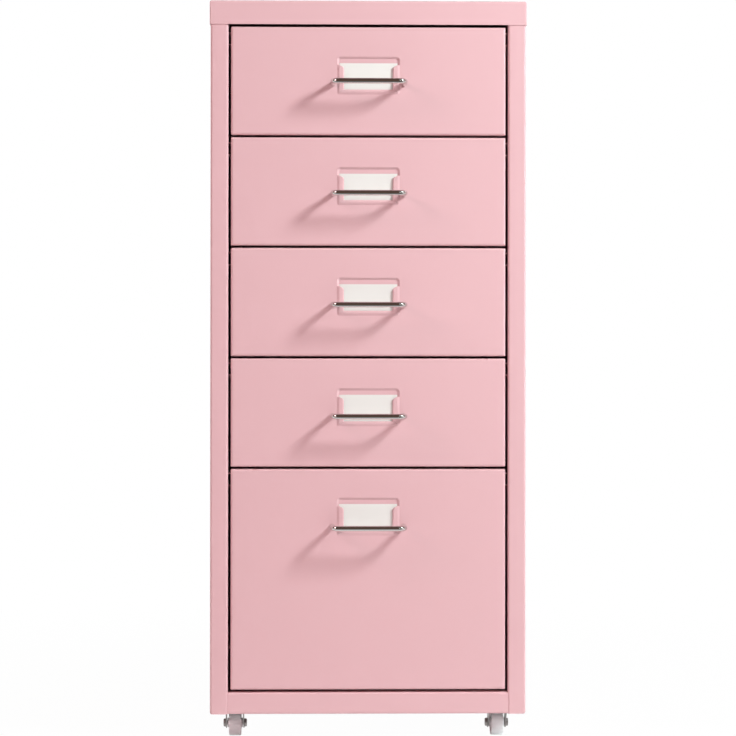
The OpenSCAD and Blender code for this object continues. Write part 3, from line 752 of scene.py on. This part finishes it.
RACE_OUT_R = race_high.x - PIVOT_X
RACE_ROUNDS = np.array([0.5, 0.5, 0.3]) * MM
RACE_CHAMFER_W = 1.0 * MM
RACE_CHAMFER_H = 0.6 * MM
PIN_R = 2.5 * MM
PIN_HEAD_R = 4.5 * MM
PIN_DOME = 0.25 * MM        # of the lower head
PIN_LOWER_H = 1.2 * MM
PIN_UPPER_H = 0.8 * MM
PIN_ROUND = 0.1 * MM
PLATE_EDGE_R = 0.3 * MM
PLATE_CORNER_R = 4 * MM
PLATE_HEAD_R = 3.5 * MM
PLATE_SHANK_R = 2 * MM
SCREW_PITCH = mount_high.x - PLATE_HEAD_R - PIVOT_X     # half the spacing of a plate's four screws


def caster_fork(x0, y0):
    """Pressed fork: across it the profile is leg, crown, leg. Along it each place runs from the front edge
    to the back edge. Each edge blends with height, from TRAIL less or plus the eye's half width at the
    axle to the crown's edge, and below the axle the half width is sqrt(EYE_R^2 - drop^2)."""
    low = AXLE_Z - EYE_R
    u = rounded_path([(-LEG_X, low), (-LEG_X, CROWN_TOP), (LEG_X, CROWN_TOP), (LEG_X, low)],
                     FORK_FOLD_R)
    # more places down each leg, for the eye's round end
    turn = np.linspace(0, math.pi / 2, 9)
    drop = np.concatenate([AXLE_Z - EYE_R * np.cos(turn), [AXLE_Z + EYE_ABOVE]])
    leg = np.stack([np.full(len(drop), -LEG_X), drop], -1)
    u = np.concatenate([leg, u[1:-1], (leg * [-1, 1])[::-1]])
    flare = LEG_FLARE * np.clip((CROWN_TOP - LEG_FLARE_DROP - u[:, 1]) / (CROWN_TOP - AXLE_Z), 0, 1)
    u[:, 0] += np.sign(u[:, 0]) * (flare - LEG_FLARE)
    z = u[:, 1]
    across = np.sqrt(np.clip(EYE_R ** 2 - np.clip(AXLE_Z - z, 0, EYE_R) ** 2, 0, None))
    up = np.clip((z - AXLE_Z) / (CROWN_BOTTOM - AXLE_Z), 0, 1)
    front = (1 - up) * (TRAIL - across) - up * FORK_FRONT
    back = (1 - up) * (TRAIL + across) + up * FORK_BACK
    t = np.linspace(0, 1, 13)[:, None]
    y = front * (1 - t) + back * t
    points = np.stack([np.broadcast_to(u[:, 0], y.shape) + x0, y + y0, np.broadcast_to(z, y.shape)], -1)
    return [surface(points, outward=(0, 0, 1))]


def caster_wheel(x0, y0):
    """Moulded wheel as a turned section: bore, hub, thin web, rim and a tread with a slight crown."""
    half = rounded_path([(BORE_R, HUB_X), (HUB_R, HUB_X), (HUB_R + HUB_DRAFT, WEB_HUB_X),
                         (WHEEL_R - RIM_D, WEB_RIM_X), (WHEEL_R - RIM_D + RIM_DRAFT, TREAD_X),
                         (WHEEL_R - TREAD_CROWN, TREAD_X - TREAD_CROWN), (WHEEL_R, 0)],
                        WHEEL_ROUNDS, steps=5)
    section = np.concatenate([half, (half * [1, -1])[-2::-1], half[:1]])
    return [lathe(section, (x0, y0 + TRAIL, AXLE_Z), (1, 0, 0), sides=56)]


def caster_axle(x0, y0, low, high):
    """Riveted axle with a flat head at each end, as a turned section."""
    reach = (high.x - low.x) / 2
    head = (high.z - low.z) / 2
    base = reach - AXLE_HEAD_W
    half = rounded_path([(AXLE_R, 0), (AXLE_R, base), (head, base),
                         (head - AXLE_DOME_IN, reach - AXLE_DOME), (AXLE_FACE_R, reach), (0, reach)],
                        AXLE_ROUNDS, steps=4)
    section = np.concatenate([(half * [1, -1])[::-1], half[1:]])
    return [lathe(section, (x0, y0 + TRAIL, AXLE_Z), (1, 0, 0), sides=32)]


def ball_race(x0, y0):
    """Pressed cup of the swivel's balls: a turned section with a chamfered lower edge."""
    section = rounded_path([(RACE_R, race_low.z), (RACE_OUT_R - RACE_CHAMFER_W, race_low.z),
                            (RACE_OUT_R, race_low.z + RACE_CHAMFER_H), (RACE_OUT_R, race_high.z),
                            (RACE_R, race_high.z)], RACE_ROUNDS, steps=4)
    return lathe(np.concatenate([section, section[:1]]), (x0, y0, 0))


def kingpin(x0, y0):
    """Rivet through the race: a turned section of lower head, shank and upper head."""
    low, high = pin_low.z, pin_high.z
    section = rounded_path([(0, low), (PIN_HEAD_R, low + PIN_DOME), (PIN_HEAD_R, low + PIN_LOWER_H),
                            (PIN_R, low + PIN_LOWER_H), (PIN_R, high - PIN_UPPER_H),
                            (PIN_HEAD_R, high - PIN_UPPER_H), (PIN_HEAD_R, high), (0, high)],
                           PIN_ROUND, steps=3)
    return lathe(section, (x0, y0, 0))


centres = {}
for corner in CORNERS:
    low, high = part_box(f"caster_plate_{corner}")
    x0, y0 = centres[corner] = ((low.x + high.x) / 2, (low.y + high.y) / 2)
    piece(f"plate_{corner}", [plate(low, high, PLATE_EDGE_R, PLATE_CORNER_R)], "carcass",
          zinc, [f"caster_plate_{corner}"])
    swivel = f"swivel_{corner}"
    piece(f"fork_{corner}", caster_fork(x0, y0), swivel, zinc, [f"caster_fork_{corner}"],
          LEG_T, FORK_EDGE_R)
    piece(f"axle_{corner}", caster_axle(x0, y0, *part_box(f"caster_axle_{corner}")), swivel,
          zinc, [f"caster_axle_{corner}"])
    piece(f"wheel_{corner}", caster_wheel(x0, y0), f"wheel_{corner}", wheel_nylon,
          [f"caster_wheel_{corner}"])

piece("swivel_races", [ball_race(*centre) for centre in centres.values()],
      "carcass", zinc, ["caster_races"])
piece("kingpins", [kingpin(*centre) for centre in centres.values()],
      "carcass", zinc, ["caster_kingpins"])
piece("plate_screws",
      [pan_head(PLATE_HEAD_R, plate_low.z - mount_low.z,
                (x0 + dx * SCREW_PITCH, y0 + dy * SCREW_PITCH, plate_low.z),
                (0, 0, -1), PLATE_SHANK_R, mount_high.z - plate_low.z)
       for x0, y0 in centres.values() for dx in (-1, 1) for dy in (-1, 1)],
      "carcass", zinc, ["caster_screws"])

# ---------- Studio ----------

# what each kind of ray meets: the eye sees plain white, and a surface is lit by SKY. Metal shows white
# behind the cabinet, the dim room in front of it, and low white boards on both sides.
WHITE = (1, 1, 1, 1)
SKY = 0.13
SKY_COLOUR = "#FFDDDF"      # the warm light of the room, which is what the shadows show
ROOM = 0.12
ROOM_COLOUR = "#FFCBB4"
ROOM_TO_WHITE = (0.05, 0.6)     # along Y, of a direction of length 1
BOARDS = 0.9
BOARDS_FROM = (0.72, 0.85)      # across X, either way
BOARDS_UP_TO = (0.0, 0.14)      # up Z
FLOOR_HALF_W, FLOOR_FRONT, FLOOR_BACK = 12.0, -1.1, 12.0
FLOOR_COLOUR = "#F4F4F4"
FLOOR_FADE = (-0.62, -0.28)     # along Y, where the floor that metal shows goes from the room to white
FLOOR_WHITE = 0.98          # how much of the floor that is seen is plain white, without its shadows
FLOOR_WHITE_OUT = (0.3, 0.9)    # metres from the middle, where that goes up to 1

AIM = np.array([0, 0, 0.36])    # what the lamps point at
COOL, PLAIN, WARM = (0.86, 1.0, 1.0), (1.0, 1.0, 1.0), (1.0, 0.74, 0.75)
# name, direction from AIM, distance, diameter, power in watts, tint
LAMPS = [("key", (0.645, -0.54, 0.54), 1.8, 0.42, 28.5, COOL),
         ("glint", (0.645, -0.54, 0.54), 1.75, 0.42, 8.0, COOL),
         ("window", (0.34, -0.87, 0.36), 2.5, 0.7, 2.5, COOL),
         ("side", (0.87, -0.48, 0.04), 2.4, 0.8, 3.0, PLAIN),
         ("front", (0.05, -1.0, 0.05), 2.3, 0.6, 5.5, WARM),
         ("fill", (-0.75, -0.5, 0.5), 2.4, 0.8, 14.0, WARM),
         ("rear_left", (-0.75, 0.62, 0.18), 2.6, 1.6, 20.0, PLAIN),
         ("rear_right", (0.62, 0.75, 0.18), 2.6, 1.6, 20.0, PLAIN)]
# these don't show in gloss, so that the rods keep their dark middle and the top its colour. The glint is
# in the key's place, a little nearer, and shows in gloss alone.
NOT_IN_GLOSS = ("key", "front", "rear_left", "rear_right")
GLOSS_ONLY = ("glint",)


def studio_floor():
    """A matt white board under and behind the cabinet. Seen, it is almost plain white, and keeps a little
    of its shadows near the cabinet. To the light that falls on it, it is its own colour."""
    mesh = bpy.data.meshes.new("studio_floor")
    w, front, back = FLOOR_HALF_W, FLOOR_FRONT, FLOOR_BACK
    mesh.from_pydata([(-w, front, 0), (w, front, 0), (w, back, 0), (-w, back, 0)], [], [(0, 1, 2, 3)])
    floor = bpy.data.objects.new("studio_floor", mesh)
    bpy.context.scene.collection.objects.link(floor)
    floor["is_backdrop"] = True
    made, tree, board, where = finish("matt_white_studio_board", FLOOR_COLOUR, roughness=0.9)
    mesh.materials.append(made)
    light = add(tree, "ShaderNodeLightPath")
    along = add(tree, "ShaderNodeSeparateXYZ", {"Vector": where})
    fade = add(tree, "ShaderNodeMapRange", {"Value": (along, "Y"), "From Min": FLOOR_FADE[0],
                                            "From Max": FLOOR_FADE[1], "To Min": ROOM, "To Max": 1.0})
    strength = add(tree, "ShaderNodeMath", {0: (light, "Is Camera Ray"), 1: fade}, operation="MAXIMUM")
    white = add(tree, "ShaderNodeEmission", {"Color": WHITE, "Strength": strength})
    seen = add(tree, "ShaderNodeMath", {0: (light, "Is Camera Ray"), 1: (light, "Is Glossy Ray")},
               operation="MAXIMUM")
    seen = add(tree, "ShaderNodeMath", {0: seen, 1: (light, "Is Transmission Ray")}, operation="MAXIMUM")
    far = add(tree, "ShaderNodeVectorMath", {0: where}, operation="LENGTH")
    plain = add(tree, "ShaderNodeMapRange", {"Value": (far, "Value"), "From Min": FLOOR_WHITE_OUT[0],
                                             "From Max": FLOOR_WHITE_OUT[1], "To Min": FLOOR_WHITE,
                                             "To Max": 1.0})
    share = add(tree, "ShaderNodeMath", {0: seen, 1: plain}, operation="MULTIPLY")
    mix = add(tree, "ShaderNodeMixShader", {0: share, 1: board, 2: white})
    tree.links.new(mix.outputs[0], tree.nodes["Material Output"].inputs["Surface"])


def studio_sky():
    """The world: white to the eye, SKY to the light, and in gloss the room, the backdrop and the boards."""
    world = bpy.data.worlds.new("studio_sky")
    bpy.context.scene.world = world
    world.use_nodes = True
    tree = world.node_tree
    light = add(tree, "ShaderNodeLightPath")
    glossy_ray = (light, "Is Glossy Ray")
    toward = add(tree, "ShaderNodeSeparateXYZ", {"Vector": (add(tree, "ShaderNodeTexCoord"), "Generated")})
    room = add(tree, "ShaderNodeMapRange", {"Value": (toward, "Y"), "From Min": ROOM_TO_WHITE[0],
                                            "From Max": ROOM_TO_WHITE[1], "To Min": ROOM, "To Max": 1.0},
               interpolation_type="SMOOTHSTEP")
    aside = add(tree, "ShaderNodeMath", {0: (toward, "X")}, operation="ABSOLUTE")
    boards = add(tree, "ShaderNodeMapRange", {"Value": aside, "From Min": BOARDS_FROM[0],
                                              "From Max": BOARDS_FROM[1], "To Min": 0.0, "To Max": BOARDS})
    low_down = add(tree, "ShaderNodeMapRange", {"Value": (toward, "Z"), "From Min": BOARDS_UP_TO[0],
                                                "From Max": BOARDS_UP_TO[1], "To Min": 1.0, "To Max": 0.0})
    boards = add(tree, "ShaderNodeMath", {0: boards, 1: low_down}, operation="MULTIPLY")
    room = add(tree, "ShaderNodeMath", {0: room, 1: boards}, operation="MAXIMUM")
    dark = add(tree, "ShaderNodeMath", {0: glossy_ray, 1: room}, operation="SUBTRACT", use_clamp=True)
    tone = add(tree, "ShaderNodeMixRGB", {"Fac": (light, "Is Diffuse Ray"), "Color1": WHITE,
                                          "Color2": colour(SKY_COLOUR)})
    tone = add(tree, "ShaderNodeMixRGB", {"Fac": dark, "Color1": tone, "Color2": colour(ROOM_COLOUR)})
    glossy = add(tree, "ShaderNodeMix", {"Factor": glossy_ray, "A": SKY, "B": room})
    seen = add(tree, "ShaderNodeMath", {0: (light, "Is Camera Ray"), 1: (light, "Is Transmission Ray")},
               operation="MAXIMUM")
    strength = add(tree, "ShaderNodeMix", {"Factor": seen, "A": glossy, "B": 1.0})
    sky = tree.nodes["Background"]
    tree.links.new(tone.outputs[0], sky.inputs["Color"])
    tree.links.new(strength.outputs[0], sky.inputs["Strength"])


def studio_lamps():
    """Soft round lamps, each at its distance from AIM along its direction, and turned to face AIM."""
    for name, toward, away, width, power, tint in LAMPS:
        toward = np.array(toward) / np.linalg.norm(toward)
        lamp = bpy.data.lights.new(name, "AREA")
        lamp.shape, lamp.size, lamp.energy, lamp.color = "DISK", width, power, tint
        put = bpy.data.objects.new(name, lamp)
        bpy.context.scene.collection.objects.link(put)
        put.location = AIM + toward * away
        put.rotation_euler = (math.acos(toward[2]), 0, math.atan2(toward[0], -toward[1]))
        put.visible_glossy = name not in NOT_IN_GLOSS
        put.visible_diffuse = name not in GLOSS_ONLY


studio_floor()
studio_sky()
studio_lamps()

# ---------- Camera ----------

camera = bpy.data.cameras.new("camera")
camera.sensor_width = 36.0
camera.lens = 102.34        # long, from two metres, so the front stays square with upright sides
camera.shift_x, camera.shift_y = 0.02, -0.05
shot = bpy.data.objects.new("camera", camera)
bpy.context.scene.collection.objects.link(shot)
shot.location = (-0.0525, -2.12, 0.3781)
shot.rotation_euler = (math.radians(90 + 0.193), math.radians(-0.056), math.radians(-1.15))
camera.clip_start, camera.clip_end = 0.05, 60.0
bpy.context.scene.camera = shot

bpy.context.scene.view_settings.view_transform = "Standard"

low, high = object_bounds()
